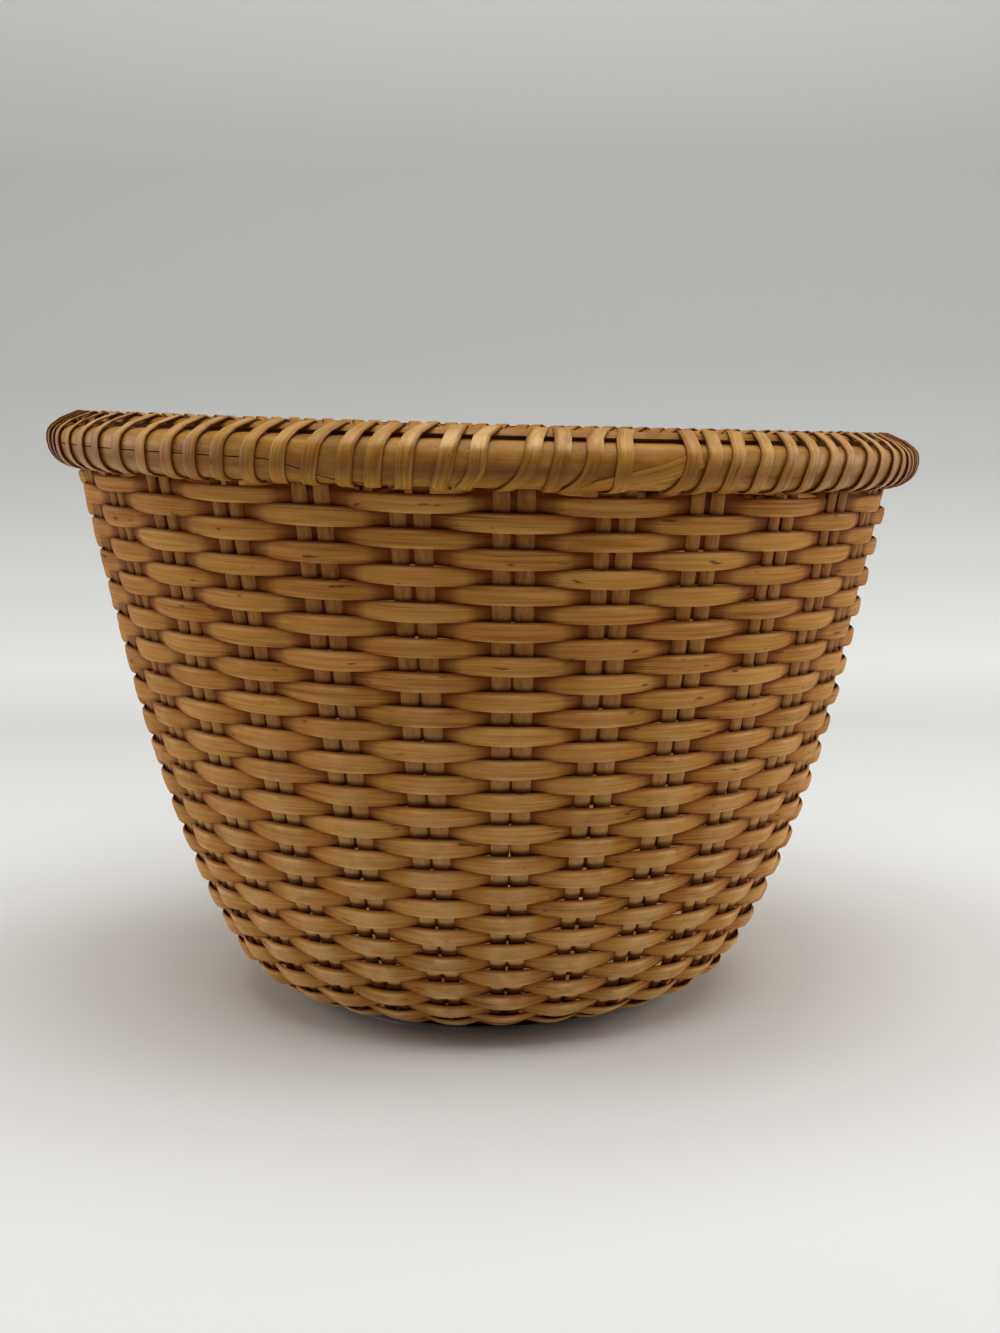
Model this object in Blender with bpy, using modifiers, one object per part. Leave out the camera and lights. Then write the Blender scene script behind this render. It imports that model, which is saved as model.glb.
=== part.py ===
# A round open basket. Paired staves stand in a groove round a turned wooden base, flat cane is
# woven round them in one spiral, and two hoops lashed with cane hold them at the mouth.
# Metres, +Z up, the front towards -Y, and the floor that it stands on at z = 0.
import bmesh
import bpy
from math import cos, pi, radians, sin, sqrt, tan
from mathutils import Vector

# Clearance between pieces that touch
GAP = 0.0003

# Staves, each split into two strips above the base
STAVE_COUNT = 29
FRONT_STAVE = radians(3.5)
STAVE_THICKNESS = 0.0012
STAVE_TOP_WIDTH = 0.0101
STAVE_FOOT_WIDTH = 0.0054
STAVE_NARROWING = 5
STAVE_SPLIT = 0.0012
STAVE_END = 0.0100

# Line of the wall, from the edge of the base outwards and up to the top row of weaving
UNDER_RUN = 0.0010
FOOT_RADIUS = 0.0262
LOWER_RADIUS = 0.197
LOWER_TURN = radians(11.0)
BELLY_RADIUS = 0.504
BELLY_TURN = radians(5.9)
UPPER_RUN = 0.0504
WALL_LEAN = radians(12.6)

# The mouth is out of level, because the rows are packed tighter on the right and at the back
RIGHT_DROP = radians(1.8)
BACK_DROP = 0.0025

# Turned base
BASE_RADIUS = 0.0515
BASE_STAND = 0.0004
BASE_CHAMFER = 0.0015
BASE_DISH = 0.0012
BASE_DISH_RADIUS = 0.040
GROOVE_DEPTH = 0.0065
BASE_SIDES = 30

# Weaving cane
CANE_WIDTH = 0.0043
CANE_THICKNESS = 0.0012
CANE_COUNT = 8
CANE_TIP = 0.0010
WEAVE_GAP = 0.0005

# Rim hoops, half round in section
HOOP_HEIGHT = 0.0125
OUTER_HOOP_DEPTH = 0.0077
INNER_HOOP_DEPTH = 0.0050
INNER_HOOP_RISE = 0.0007
SCARF_STAVES = 3
SCARF_TIP = 0.0012
OUTER_SCARF = -6
INNER_SCARF = 14

# Rim lashing
LASHING_WIDTH = 0.0041
LASHING_THICKNESS = 0.0006
LASHING_GAP = 0.00045
WRAPS_PER_STAVE = 3
LASHING_START = 1
BINDING_FACES = (-90, -40, 0, 40, 90, 180)

STEP = 2 * pi / STAVE_COUNT
ROW_PITCH = CANE_WIDTH + GAP
FOOT_TURN = pi / 2 - WALL_LEAN - BELLY_TURN - LOWER_TURN
WALL_RUNS = (
    (UNDER_RUN, 0.0),
    (FOOT_RADIUS * FOOT_TURN, 1 / FOOT_RADIUS),
    (LOWER_RADIUS * LOWER_TURN, 1 / LOWER_RADIUS),
    (BELLY_RADIUS * BELLY_TURN, 1 / BELLY_RADIUS),
)
WALL_LENGTH = sum(length for length, bend in WALL_RUNS) + UPPER_RUN
RIM_FOOT = WALL_LENGTH + CANE_WIDTH / 2 + LASHING_THICKNESS + 2 * GAP


def wall_at(distance):
    """Radius, height over the base's groove and steepness of the wall, from the base's edge."""
    radius, height, rise = BASE_RADIUS, 0.0, 0.0
    left = distance
    for length, bend in WALL_RUNS:
        run = min(left, length)
        if bend:
            end = rise + run * bend
            radius += (sin(end) - sin(rise)) / bend
            height += (cos(rise) - cos(end)) / bend
            rise = end
        else:
            radius += run
        left -= run
        if left <= 0:
            return radius, height, rise
    return radius + left * cos(rise), height + left * sin(rise), rise


def stave_width(distance):
    """The stave keeps its width down the wall and is shaved narrow as it nears the base."""
    share = 1 - max(distance, 0.0) / WALL_LENGTH
    return STAVE_TOP_WIDTH - (STAVE_TOP_WIDTH - STAVE_FOOT_WIDTH) * max(share, 0.0) ** STAVE_NARROWING


def weave_offset(distance, outside):
    """Distance of the cane's middle from the stave's middle, positive outside, so that its
    straight slanting runs to the next staves clear the edges of this one."""
    radius, height, rise = wall_at(distance)
    share = stave_width(distance) / 2 / (radius * sin(STEP))
    clear = STAVE_THICKNESS / 2 + 0.6 * CANE_THICKNESS + WEAVE_GAP
    reach = clear / (1 - 2 * share)
    crown = share * radius * (1 - cos(STEP)) * sin(rise)
    return reach + crown if outside else crown - reach


def weave_crossings():
    """The spiral of cane from the mouth down to the base, one entry for each stave it crosses.
    The first turn and the last are tapered, so that the weaving starts and ends level."""
    top_edge = WALL_LENGTH + CANE_WIDTH / 2
    base_edge = GAP + BASE_RADIUS * (1 - cos(STEP / 2))
    crossings = []
    number = -STAVE_COUNT
    while True:
        middle = WALL_LENGTH - ROW_PITCH * number / STAVE_COUNT
        top = min(middle + CANE_WIDTH / 2, top_edge)
        foot = max(middle - CANE_WIDTH / 2, base_edge)
        if top - foot >= CANE_TIP:
            outside = number % 2 == 1
            place = (top + foot) / 2
            crossings.append((number, place, top - foot, weave_offset(place, outside)))
        elif crossings:
            return crossings
        number += 1


def section_point(distance, along, out):
    """Radius and height of a point given along and square to the wall at a distance."""
    radius, height, rise = wall_at(distance)
    return (radius + along * cos(rise) + out * sin(rise),
            height + along * sin(rise) - out * cos(rise))


def cane_section(place, width, offset):
    corners = ((-1, -1), (1, -1), (1, 1), (-1, 1))
    return [section_point(place, a * width / 2, offset + o * CANE_THICKNESS / 2) for a, o in corners]


WALL_HEIGHT = wall_at(WALL_LENGTH)[1]
CROSSINGS = weave_crossings()
WEAVE_DEPTH = -min(height for number, place, width, offset in CROSSINGS
                   for radius, height in cane_section(place, width, offset))
STAVE_LEVEL = WEAVE_DEPTH + BASE_STAND


def at_bearing(bearing, radius, height):
    """A bearing is measured from the front, positive to the right."""
    x, y = radius * sin(bearing), -radius * cos(bearing)
    backness = (1 - cos(bearing)) / 2
    mouth_drop = x * tan(RIGHT_DROP) + BACK_DROP * backness ** 2
    return Vector((x, y, height - mouth_drop * height / WALL_HEIGHT + STAVE_LEVEL))


def across(bearing):
    return Vector((cos(bearing), sin(bearing), 0))


def new_collection(name):
    collection = bpy.data.collections.new(name)
    bpy.context.scene.collection.children.link(collection)
    return collection


def new_material(name, colour, roughness):
    material = bpy.data.materials.new(name)
    material.use_nodes = True
    shader = material.node_tree.nodes["Principled BSDF"]
    shader.inputs["Base Color"].default_value = (*colour, 1)
    shader.inputs["Roughness"].default_value = roughness
    shader.inputs["Metallic"].default_value = 0
    return material


def new_object(name, mesh, material, smooth_angle):
    mesh.materials.append(material)
    mesh.shade_smooth()
    mesh.set_sharp_from_angle(angle=smooth_angle)
    piece = bpy.data.objects.new(name, mesh)
    basket.objects.link(piece)
    return piece


def loft(name, rings, material, smooth_angle):
    """A closed body through a row of sections that all have as many points."""
    shape = bmesh.new()
    rows = [[shape.verts.new(point) for point in ring] for ring in rings]
    count = len(rings[0])
    for one, two in zip(rows, rows[1:]):
        for i in range(count):
            j = (i + 1) % count
            shape.faces.new((one[i], one[j], two[j], two[i]))
    shape.faces.new(rows[0])
    shape.faces.new(rows[-1])
    bmesh.ops.recalc_face_normals(shape, faces=shape.faces)
    mesh = bpy.data.meshes.new(name)
    shape.to_mesh(mesh)
    shape.free()
    return new_object(name, mesh, material, smooth_angle)


def make_base():
    """A turned disc with a groove round its edge for the staves and a dished underside."""
    top = 2 * STAVE_LEVEL
    groove = STAVE_THICKNESS / 2 + GAP
    profile = (
        (0, top),
        (BASE_RADIUS - BASE_CHAMFER, top),
        (BASE_RADIUS, top - BASE_CHAMFER),
        (BASE_RADIUS, STAVE_LEVEL + groove),
        (BASE_RADIUS - GROOVE_DEPTH, STAVE_LEVEL + groove),
        (BASE_RADIUS - GROOVE_DEPTH, STAVE_LEVEL - groove),
        (BASE_RADIUS, STAVE_LEVEL - groove),
        (BASE_RADIUS, BASE_CHAMFER),
        (BASE_RADIUS - BASE_CHAMFER, 0),
        (BASE_DISH_RADIUS, 0),
        (BASE_DISH_RADIUS - BASE_DISH, BASE_DISH),
        (0, BASE_DISH),
    )
    mesh = bpy.data.meshes.new("base")
    edges = [(i, i + 1) for i in range(len(profile) - 1)]
    mesh.from_pydata([(x, 0, z) for x, z in profile], edges, [])
    base = new_object("base", mesh, wood, radians(25))
    turn = base.modifiers.new("turn", "SCREW")
    turn.axis = "Z"
    turn.steps = BASE_SIDES
    turn.render_steps = BASE_SIDES
    turn.use_merge_vertices = True
    turn.merge_threshold = 0.00005
    return base


def stave_stations():
    """Places along a stave where its line is drawn, closer together where it bends most."""
    parts = (1, 4, 2, 2)
    places = [GAP - GROOVE_DEPTH, UNDER_RUN]
    start = UNDER_RUN
    for (length, bend), count in zip(WALL_RUNS[1:], parts[1:]):
        places += [start + length * (i + 1) / count for i in range(count)]
        start += length
    return places + [RIM_FOOT + STAVE_END]


def make_stave(name, bearing):
    """A stave whose tongue sits in the base's groove, split into two strips from there up."""
    shape = bmesh.new()
    rows = []
    for place in stave_stations():
        radius, height, rise = wall_at(place)
        half = stave_width(place) / 2
        middle = at_bearing(bearing, radius, height)
        sides = (-half, -STAVE_SPLIT / 2, STAVE_SPLIT / 2, half)
        rows.append([shape.verts.new(middle + across(bearing) * side) for side in sides])
    for number, (one, two) in enumerate(zip(rows, rows[1:])):
        for column in (0, 1, 2) if number == 0 else (0, 2):
            shape.faces.new((one[column], one[column + 1], two[column + 1], two[column]))
    bmesh.ops.recalc_face_normals(shape, faces=shape.faces)
    mesh = bpy.data.meshes.new(name)
    shape.to_mesh(mesh)
    shape.free()
    stave = new_object(name, mesh, stave_cane, radians(40))
    thick = stave.modifiers.new("thickness", "SOLIDIFY")
    thick.thickness = STAVE_THICKNESS
    thick.offset = 0
    thick.use_even_offset = True
    return stave


def cane_middle(crossing):
    number, place, width, offset = crossing
    return at_bearing(FRONT_STAVE + number * STEP, *section_point(place, 0, offset))


def make_weave():
    """Canes of one length woven in turn over and under the staves, each new one butted to the
    last behind a stave. An odd number of staves makes every row alternate with the next."""
    travel = [0.0]
    for one, two in zip(CROSSINGS, CROSSINGS[1:]):
        travel.append(travel[-1] + (cane_middle(two) - cane_middle(one)).length)
    canes = [[]]
    for used, (number, place, width, offset) in zip(travel, CROSSINGS):
        section = cane_section(place, width, offset)
        bearing = FRONT_STAVE + number * STEP
        if len(canes) < CANE_COUNT and used >= travel[-1] * len(canes) / CANE_COUNT and offset < 0:
            turn = GAP / 2 / section[0][0]
            canes[-1].append([at_bearing(bearing - turn, *corner) for corner in section])
            canes.append([])
            bearing += turn
        canes[-1].append([at_bearing(bearing, *corner) for corner in section])
    for number, rings in enumerate(canes, 1):
        loft(f"weaver_{number}", rings, weaving_cane, radians(50))


def rim_point(bearing, out, up):
    """A point in the rim's section, square to the wall and up it from the hoops' lower edge."""
    return at_bearing(bearing, *section_point(RIM_FOOT, up, out))


def hoop_section(seat, depth, rise, low, high):
    """The half-round section between two levels, as (out, up) pairs; a negative depth faces in."""
    points = [(seat, rise + low), (seat, rise + high)]
    for share in (0.9, 0.65, 0.35, 0.1):
        level = low + (high - low) * share
        bulge = depth * sqrt(1 - (2 * level / HOOP_HEIGHT - 1) ** 2)
        points.append((seat + bulge, rise + level))
    return points


OUTER_SEAT = STAVE_THICKNESS / 2 + GAP + STAVE_TOP_WIDTH / 2 * tan(STEP / 4)
INNER_SEAT = -STAVE_THICKNESS / 2 - GAP
OUTER_HOOP = (OUTER_SEAT, OUTER_HOOP_DEPTH, 0.0)
INNER_HOOP = (INNER_SEAT, -INNER_HOOP_DEPTH, INNER_HOOP_RISE)


def make_hoop(name, hoop, start):
    """A hoop bent round from one length of wood, its tapered ends lapped in a scarf joint."""
    lap = 2 * SCARF_STAVES
    seam_low = SCARF_TIP + GAP / 2
    seam_high = HOOP_HEIGHT - seam_low
    rings = []
    for number in range(2 * STAVE_COUNT + lap + 1):
        low, high = 0.0, HOOP_HEIGHT
        if number <= lap:
            low = seam_high + (seam_low - seam_high) * number / lap + GAP / 2
        if number >= 2 * STAVE_COUNT:
            high = seam_high + (seam_low - seam_high) * (number / lap - 2 * STAVE_COUNT / lap) - GAP / 2
        bearing = FRONT_STAVE + start * STEP + number * STEP / 2
        section = hoop_section(*hoop, low, high)
        rings.append([rim_point(bearing, out, up) for out, up in section])
    return loft(name, rings, hoop_wood, radians(50))


def binding_line(gap):
    """Corners of the closed line that a flat cane takes round both hoops, a gap off them."""
    points = hoop_section(*OUTER_HOOP, 0.0, HOOP_HEIGHT) + hoop_section(*INNER_HOOP, 0.0, HOOP_HEIGHT)
    faces = []
    for degrees in BINDING_FACES:
        out, up = cos(radians(degrees)), sin(radians(degrees))
        faces.append((out, up, gap + max(x * out + y * up for x, y in points)))
    corners = []
    for (a, b, c), (d, e, f) in zip(faces, faces[1:] + faces[:1]):
        turn = a * e - b * d
        corners.append(((c * e - b * f) / turn, (a * f - c * d) / turn))
    return corners


def make_lashing():
    """One flat cane wound round both hoops. Between two staves its turns go in side by side
    under the hoops, and over the rim they spread evenly."""
    inner_radius = section_point(RIM_FOOT, 0, INNER_SEAT - INNER_HOOP_DEPTH)[0]
    sag = inner_radius * (1 - cos(STEP / 4))
    under_line = binding_line(GAP + sag)
    over_line = binding_line(GAP + sag + LASHING_THICKNESS)
    pass_step = (LASHING_WIDTH + LASHING_GAP) / inner_radius
    order = (4, 3, 2, 1, 0, 5)
    lean = (0.0, 0.0, 0.25, 0.75, 1.0, 1.0)
    rings = []
    for number in range(1, STAVE_COUNT * WRAPS_PER_STAVE):
        stave, wrap = divmod(number, WRAPS_PER_STAVE)
        start = FRONT_STAVE + (LASHING_START + stave) * STEP
        over = start + STEP * (wrap + 0.5) / WRAPS_PER_STAVE
        under = start + STEP / 2 + pass_step * (wrap - (WRAPS_PER_STAVE - 1) / 2)
        for corner, share in zip(order, lean):
            bearing = over + (under - over) * share
            side = across(bearing) * LASHING_WIDTH / 2
            near = rim_point(bearing, *under_line[corner])
            far = rim_point(bearing, *over_line[corner])
            rings.append([near - side, near + side, far + side, far - side])
    print("least gap between turns of the lashing, mm:", round(least_gap(rings) * 1000, 2))
    return loft("rim_lashing", rings, lashing_cane, radians(60))


def least_gap(rings):
    """The smallest distance from the edge of one turn to the edge of the next."""
    count = len(BINDING_FACES)
    return min(((one[1] + one[2]) / 2 - (two[0] + two[3]) / 2).length
               for one, two in zip(rings, rings[count:]))


for old in list(bpy.data.objects):
    bpy.data.objects.remove(old, do_unlink=True)
basket = new_collection("basket")
wood = new_material("base_wood", (0.36, 0.19, 0.07), 0.5)
hoop_wood = new_material("hoop_wood", (0.42, 0.23, 0.08), 0.45)
stave_cane = new_material("stave_cane", (0.50, 0.30, 0.12), 0.55)
weaving_cane = new_material("weaving_cane", (0.44, 0.24, 0.09), 0.5)
lashing_cane = new_material("lashing_cane", (0.52, 0.31, 0.10), 0.35)

make_base()
for stave_number in range(STAVE_COUNT):
    make_stave(f"stave_{stave_number + 1:02d}", FRONT_STAVE + stave_number * STEP)
make_weave()
make_hoop("rim_hoop_outer", OUTER_HOOP, OUTER_SCARF)
make_hoop("rim_hoop_inner", INNER_HOOP, INNER_SCARF)
make_lashing()
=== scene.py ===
import random
from math import cos, floor, hypot, pi, radians, sin, sqrt, tan

import bpy
from mathutils import Matrix, Vector


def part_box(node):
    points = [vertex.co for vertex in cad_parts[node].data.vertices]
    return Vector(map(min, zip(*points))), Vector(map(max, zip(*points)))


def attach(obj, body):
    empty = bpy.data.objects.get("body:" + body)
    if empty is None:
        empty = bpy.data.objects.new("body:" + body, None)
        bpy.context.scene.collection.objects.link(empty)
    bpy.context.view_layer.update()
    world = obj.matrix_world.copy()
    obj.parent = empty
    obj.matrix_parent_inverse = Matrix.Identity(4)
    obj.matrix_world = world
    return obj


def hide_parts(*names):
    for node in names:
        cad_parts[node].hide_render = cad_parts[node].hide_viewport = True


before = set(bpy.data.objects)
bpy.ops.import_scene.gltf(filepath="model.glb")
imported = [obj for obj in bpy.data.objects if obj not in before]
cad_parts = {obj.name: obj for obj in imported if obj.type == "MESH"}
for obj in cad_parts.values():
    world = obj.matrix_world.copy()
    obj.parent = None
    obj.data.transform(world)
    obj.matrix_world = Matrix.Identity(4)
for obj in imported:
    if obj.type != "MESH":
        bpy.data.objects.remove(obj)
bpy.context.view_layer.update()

# Base. A hardwood disc turned on a lathe, with rings cut in its floor, a groove round its edge for
# the ends of the staves, and a dished underside so that it stands on its rim.
BASE_RADIUS = 0.0515
BASE_EDGE = BASE_RADIUS + 0.0004  # a little wider, so that no light shows under the lowest row
BASE_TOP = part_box("base")[1].z
GROOVE_HEIGHT = BASE_TOP / 2
GROOVE_HALF = 0.0009
GROOVE_DEPTH = 0.0065
BASE_OUTLINE = (
    (0.0, BASE_TOP - 0.0004),
    (0.0042, BASE_TOP - 0.0004),
    (0.0048, BASE_TOP - 0.0010),
    (0.0054, BASE_TOP - 0.0004),
    (0.0120, BASE_TOP - 0.0002),
    (0.0290, BASE_TOP - 0.0001),
    (0.0296, BASE_TOP - 0.0007),
    (0.0302, BASE_TOP - 0.0001),
    (0.0324, BASE_TOP - 0.0001),
    (0.0330, BASE_TOP - 0.0007),
    (0.0336, BASE_TOP - 0.0001),
    (0.0480, BASE_TOP),
    (0.0500, BASE_TOP - 0.0002),
    (0.0511, BASE_TOP - 0.0008),
    (BASE_EDGE, BASE_TOP - 0.0016),
    (BASE_EDGE, GROOVE_HEIGHT + GROOVE_HALF),
    (BASE_RADIUS - GROOVE_DEPTH, GROOVE_HEIGHT + GROOVE_HALF),
    (BASE_RADIUS - GROOVE_DEPTH, GROOVE_HEIGHT - GROOVE_HALF),
    (BASE_EDGE, GROOVE_HEIGHT - GROOVE_HALF),
    (BASE_EDGE, 0.0012),
    (0.0504, 0.0005),
    (0.0494, 0.0),
    (0.0400, 0.0),
    (0.0392, 0.0003),
    (0.0386, 0.0012),
    (0.0, 0.0012),
)
BASE_TURNS = 120
BASE_TONES = ((0.34, (0.13, 0.050, 0.013)), (0.50, (0.25, 0.112, 0.034)),
              (0.66, (0.36, 0.185, 0.066)))
# painted shade: the base's outer edge darkens to this brown where it meets the floor, between these
# radii
BASE_EDGE_SHADE = (0.022, 0.009, 0.003, 1.0)
BASE_SHADE_START, BASE_SHADE_FULL = 0.0485, 0.0502
PORE_DEPTH = 0.00015


def put(tree, kind, inputs, **settings):
    """Adds one step to a finish. An input is a number, a colour or the output that feeds it."""
    step = tree.nodes.new("ShaderNode" + kind)
    for name, value in settings.items():
        setattr(step, name, value)
    for name, value in inputs.items():
        if isinstance(value, bpy.types.NodeSocket):
            tree.links.new(value, step.inputs[name])
        else:
            step.inputs[name].default_value = value
    return step


def streaks(tree, place, stretch, detail, shift=0.0):
    """Noise drawn out along the grain; a small stretch makes long streaks."""
    drawn = put(tree, "Mapping", {"Vector": place, "Location": (shift, shift, shift),
                                  "Scale": stretch}).outputs["Vector"]
    return put(tree, "TexNoise", {"Vector": drawn, "Scale": 1.0, "Detail": detail,
                                  "Roughness": 0.55}).outputs["Fac"]


def shades(tree, amount, stops):
    """Turns an amount into a colour that passes through the stops."""
    ramp = put(tree, "ValToRGB", {"Fac": amount})
    points = ramp.color_ramp.elements
    while len(points) < len(stops):
        points.new(0.5)
    for point, (position, colour) in zip(points, stops):
        point.position = position
        point.color = (*colour, 1.0)
    return ramp.outputs["Color"]


def part_way(tree, amount, low, high):
    """Stretches an amount so that it runs from 0 at low to 1 at high."""
    reach = put(tree, "MapRange", {"Value": amount, "From Min": low, "From Max": high})
    return reach.outputs["Result"]


def blended(tree, amount, one, two):
    return put(tree, "MixRGB", {"Fac": amount, "Color1": one, "Color2": two}).outputs["Color"]


def times(tree, one, two):
    return put(tree, "Math", {0: one, 1: two}, operation="MULTIPLY").outputs[0]


def sum_of(tree, *parts):
    """Adds up amounts, each with its share."""
    total = 0.0
    for amount, share in parts:
        more = put(tree, "Math", {0: amount, 1: share, 2: total}, operation="MULTIPLY_ADD")
        total = more.outputs[0]
    return total


def finish_with(name, roughness, specular):
    finish = bpy.data.materials.new(name)
    finish.use_nodes = True
    shader = finish.node_tree.nodes["Principled BSDF"]
    shader.inputs["Roughness"].default_value = roughness
    shader.inputs["Specular IOR Level"].default_value = specular
    return finish, finish.node_tree, shader


def raised(tree, shader, height, depth):
    bump = put(tree, "Bump", {"Height": height, "Distance": depth, "Strength": 1.0})
    tree.links.new(bump.outputs["Normal"], shader.inputs["Normal"])


base_wood, tree, shader = finish_with("base_wood", 0.7, 0.0)
place = put(tree, "TexCoord", {}).outputs["Object"]
board = streaks(tree, place, (14, 160, 60), 4)
pores = streaks(tree, place, (70, 1800, 700), 2)
colour = shades(tree, sum_of(tree, (board, 0.75), (pores, 0.25)), BASE_TONES)
flat = put(tree, "VectorMath", {0: place, 1: (1.0, 1.0, 0.0)}, operation="MULTIPLY").outputs[0]
from_middle = put(tree, "VectorMath", {0: flat}, operation="LENGTH").outputs["Value"]
# painted shade on the outer edge, where the base meets the floor
colour = blended(tree, part_way(tree, from_middle, BASE_SHADE_START, BASE_SHADE_FULL), colour, BASE_EDGE_SHADE)
tree.links.new(colour, shader.inputs["Base Color"])
raised(tree, shader, pores, PORE_DEPTH)


def start_piece(name):
    """The primitive just added becomes a named piece, open in edit mode with all of it selected."""
    piece = bpy.context.object
    piece.name = name
    piece.data.name = name
    bpy.ops.object.mode_set(mode="EDIT")
    bpy.ops.mesh.select_all(action="SELECT")
    return piece


def end_piece(piece, finish, smooth):
    """Closes edit mode, fixes the place in the mesh, and gives the finish and smoothing."""
    bpy.ops.object.mode_set(mode="OBJECT")
    bpy.ops.object.transform_apply(location=True, rotation=True, scale=True)
    piece.data.materials.append(finish)
    bpy.ops.object.shade_smooth_by_angle(angle=radians(smooth))
    bpy.ops.object.select_all(action="DESELECT")


bpy.ops.object.select_all(action="DESELECT")
bpy.ops.mesh.primitive_plane_add(size=0.001, location=(0, 0, BASE_OUTLINE[0][1]))
base = start_piece("turned_base")
bpy.ops.mesh.merge(type="CENTER")
for (r, z), (next_r, next_z) in zip(BASE_OUTLINE, BASE_OUTLINE[1:]):
    bpy.ops.mesh.extrude_region_move(TRANSFORM_OT_translate={"value": (next_r - r, 0, next_z - z)})
bpy.ops.mesh.select_all(action="SELECT")
bpy.ops.mesh.spin(steps=BASE_TURNS, angle=2 * pi, center=(0, 0, 0), axis=(0, 0, 1))
bpy.ops.mesh.select_all(action="SELECT")
bpy.ops.mesh.remove_doubles(threshold=0.00002)
bpy.ops.mesh.normals_make_consistent(inside=False)
end_piece(base, base_wood, 25)
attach(base, "root")
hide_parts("base")

# Staves. Split cane, two rounded strips to a stave, their shaved ends pushed into the base's groove
# and their tops caught between the hoops. All 29 are bent over the same mould.
STAVE_COUNT = 29
STEP = 2 * pi / STAVE_COUNT
FRONT_STAVE = radians(3.5)
STAVE_TOP_WIDTH = 0.0101
STAVE_FOOT_WIDTH = 0.0054
STAVE_NARROWING = 5
STAVE_END = 0.0100  # length that stands up between the hoops
# the gap between a stave's two strips, what it gains up to the rim, and where that starts
SPLIT, SPLIT_MORE, SPLIT_START = 0.0005, 0.0010, 0.115
# thickness of a strip's shaved end, what it gains, where that starts and over what length
SHAVED, SHAVED_MORE, SHAVED_START, SHAVED_RUN = 0.0011, 0.0004, 0.004, 0.03
FOOT_STEPS, WALL_STEPS = 9, 14
UNDER_RUN = 0.0010
FOOT_RADIUS = 0.0262
LOWER_RADIUS = 0.197
LOWER_TURN = radians(11.0)
BELLY_RADIUS = 0.504
BELLY_TURN = radians(5.9)
UPPER_RUN = 0.0504
WALL_LEAN = radians(12.6)
RIGHT_DROP = radians(1.8)
BACK_DROP = 0.0025
FOOT_TURN = pi / 2 - WALL_LEAN - BELLY_TURN - LOWER_TURN
WALL_RUNS = (
    (UNDER_RUN, 0.0),
    (FOOT_RADIUS * FOOT_TURN, 1 / FOOT_RADIUS),
    (LOWER_RADIUS * LOWER_TURN, 1 / LOWER_RADIUS),
    (BELLY_RADIUS * BELLY_TURN, 1 / BELLY_RADIUS),
)
WALL_LENGTH = sum(length for length, bend in WALL_RUNS) + UPPER_RUN
TOUCH = 0.0003
CANE_WIDTH = 0.0043
ROW_PITCH = CANE_WIDTH + TOUCH
RIM_FOOT = WALL_LENGTH + CANE_WIDTH / 2 + 0.0020
STAVE_TONES = ((0.36, (0.18, 0.062, 0.011)), (0.50, (0.29, 0.118, 0.024)),
               (0.64, (0.38, 0.178, 0.043)))
# painted light: the lower part of the wall is paler, as though lit from the floor below
LOW_START, LOW_FULL = 0.12, 0.02  # heights at which the paler lower part begins and is full
LOW_PAINTED_LIGHT, LOW_LIGHT_SHARE = (0.66, 0.39, 0.14, 1.0), 0.66
# the brown of the painted shade at each window's foot
WINDOW_SHADE = (0.085, 0.017, 0.0005, 1.0)
BLACK, WHITE = (0.0, 0.0, 0.0), (1.0, 1.0, 1.0)
# where a window's painted shade starts, is full, starts to fade and has ended, how far it shifts
# low down, and how strong it is high up and low down
WINDOW_STOPS = ((0.0, BLACK), (0.09, BLACK), (0.20, WHITE), (0.60, WHITE), (0.74, BLACK))
WINDOW_SHIFT = 0.16
HIGH_WINDOW_SHADE, LOW_WINDOW_SHADE = 0.60, 0.96
GRAIN_DEPTH = 0.00016


def wall_at(distance):
    """Radius, height over the base's groove and steepness of the wall, from the base's edge."""
    radius, height, rise = BASE_RADIUS, 0.0, 0.0
    left = distance
    for length, bend in WALL_RUNS:
        run = min(left, length)
        if bend:
            end = rise + run * bend
            radius += (sin(end) - sin(rise)) / bend
            height += (cos(rise) - cos(end)) / bend
            rise = end
        else:
            radius += run
        left -= run
        if left <= 0:
            return radius, height, rise
    return radius + left * cos(rise), height + left * sin(rise), rise


def stave_width(distance):
    share = max(1 - max(distance, 0.0) / WALL_LENGTH, 0.0)
    return STAVE_TOP_WIDTH - (STAVE_TOP_WIDTH - STAVE_FOOT_WIDTH) * share ** STAVE_NARROWING


def split_width(distance):
    """The gap between a stave's two strips opens towards the rim."""
    share = max(0.0, (distance - SPLIT_START) / (WALL_LENGTH - SPLIT_START))
    return SPLIT + SPLIT_MORE * share ** 2


def strip_thickness(distance):
    return SHAVED + SHAVED_MORE * min(1.0, max(0.0, (distance - SHAVED_START) / SHAVED_RUN))


def off_level(point):
    """The wall is lower on the right and at the back, where the rows are packed tighter."""
    share = (point.z - GROOVE_HEIGHT) / wall_at(WALL_LENGTH)[1]
    backness = (1 + point.y / hypot(point.x, point.y)) / 2
    drop = share * (point.x * tan(RIGHT_DROP) + BACK_DROP * backness ** 2)
    return point - Vector((0, 0, drop))


stave_cane, tree, shader = finish_with("stave_cane", 0.62, 0.06)
place = put(tree, "TexCoord", {}).outputs["Object"]
grain = streaks(tree, place, (900, 900, 22), 3)
fibre = streaks(tree, place, (3200, 3200, 60), 2)
patch = streaks(tree, place, (60, 60, 35), 2)
tone = sum_of(tree, (grain, 0.5), (patch, 0.35), (fibre, 0.15))
height = put(tree, "SeparateXYZ", {"Vector": place}).outputs["Z"]
low_down = part_way(tree, height, LOW_START, LOW_FULL)
colour = shades(tree, tone, STAVE_TONES)
# painted light: low down the strips are blended to a paler colour
colour = blended(tree, times(tree, low_down, LOW_LIGHT_SHARE), colour, LOW_PAINTED_LIGHT)
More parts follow.
